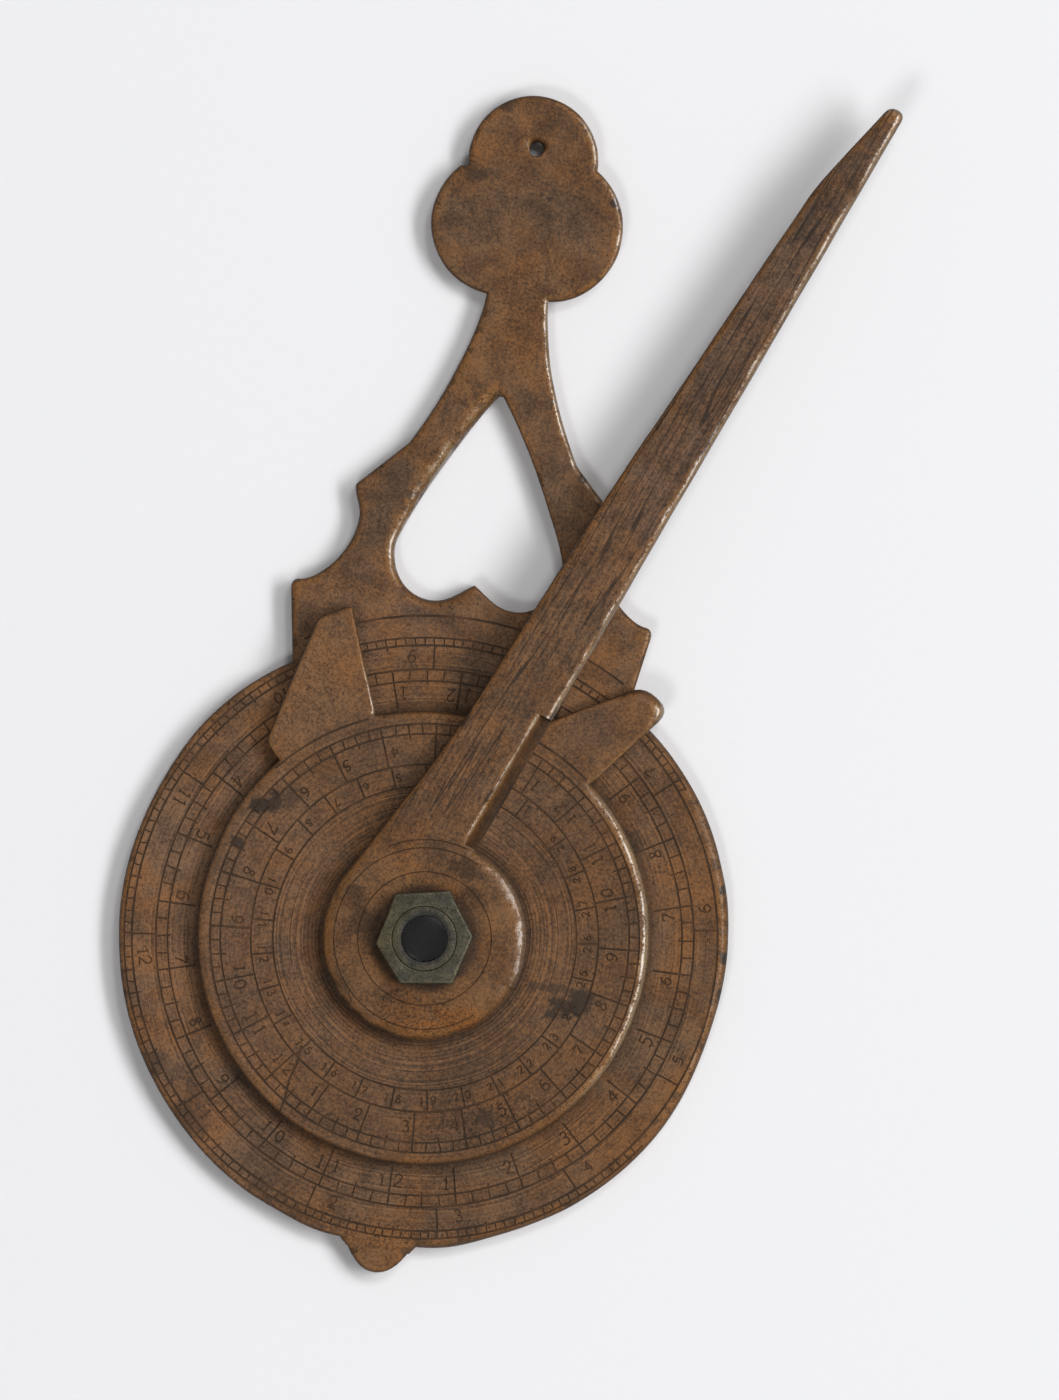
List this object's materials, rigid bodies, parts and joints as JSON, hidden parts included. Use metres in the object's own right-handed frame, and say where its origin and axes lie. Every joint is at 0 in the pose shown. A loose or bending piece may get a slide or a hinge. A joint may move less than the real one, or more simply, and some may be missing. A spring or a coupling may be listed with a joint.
{
  "type": "nocturnal dial",
  "caption": "Wooden star clock: a handled dial plate with a turning hour disc with pointers and a long index arm, held on a hollow brass pivot by a hexagonal nut.",
  "frame": {"origin": "on the pivot axis, at the flat back of the dial plate", "axes": "+Z out of the dial's face along the pivot, +Y from the pivot along the handle, +X to the right of the handle seen from the face"},
  "size_m": [0.1302, 0.2403, 0.0179],
  "materials": {
    "plate_wood": "old boxwood, waxed by handling, with inked scales",
    "disc_wood": "old boxwood with turned rings, inked scales and worn bright edges",
    "arm_wood": "old boxwood with dark long grain and a polished edge",
    "pivot_brass": "dark tarnished brass"
  },
  "bodies": {
    "body": {"body_plate": "plate_wood", "pivot_tube": "pivot_brass"},
    "hour_disc": {"hour_disc": "disc_wood"},
    "index_arm": {"index_arm": "arm_wood"},
    "hex_nut": {"hex_nut": "pivot_brass"}
  },
  "joints": [
    {"name": "hour_disc_turn", "type": "hinge", "parent": "body", "child": "hour_disc", "pos_m": [0, 0, 0], "axis": [0, 0, 1], "continuous": true},
    {"name": "index_arm_turn", "type": "hinge", "parent": "body", "child": "index_arm", "pos_m": [0, 0, 0], "axis": [0, 0, 1], "continuous": true},
    {"name": "nut_turn", "type": "hinge", "parent": "body", "child": "hex_nut", "pos_m": [0, 0, 0], "axis": [0, 0, 1], "range_deg": [0, 90]}
  ]
}
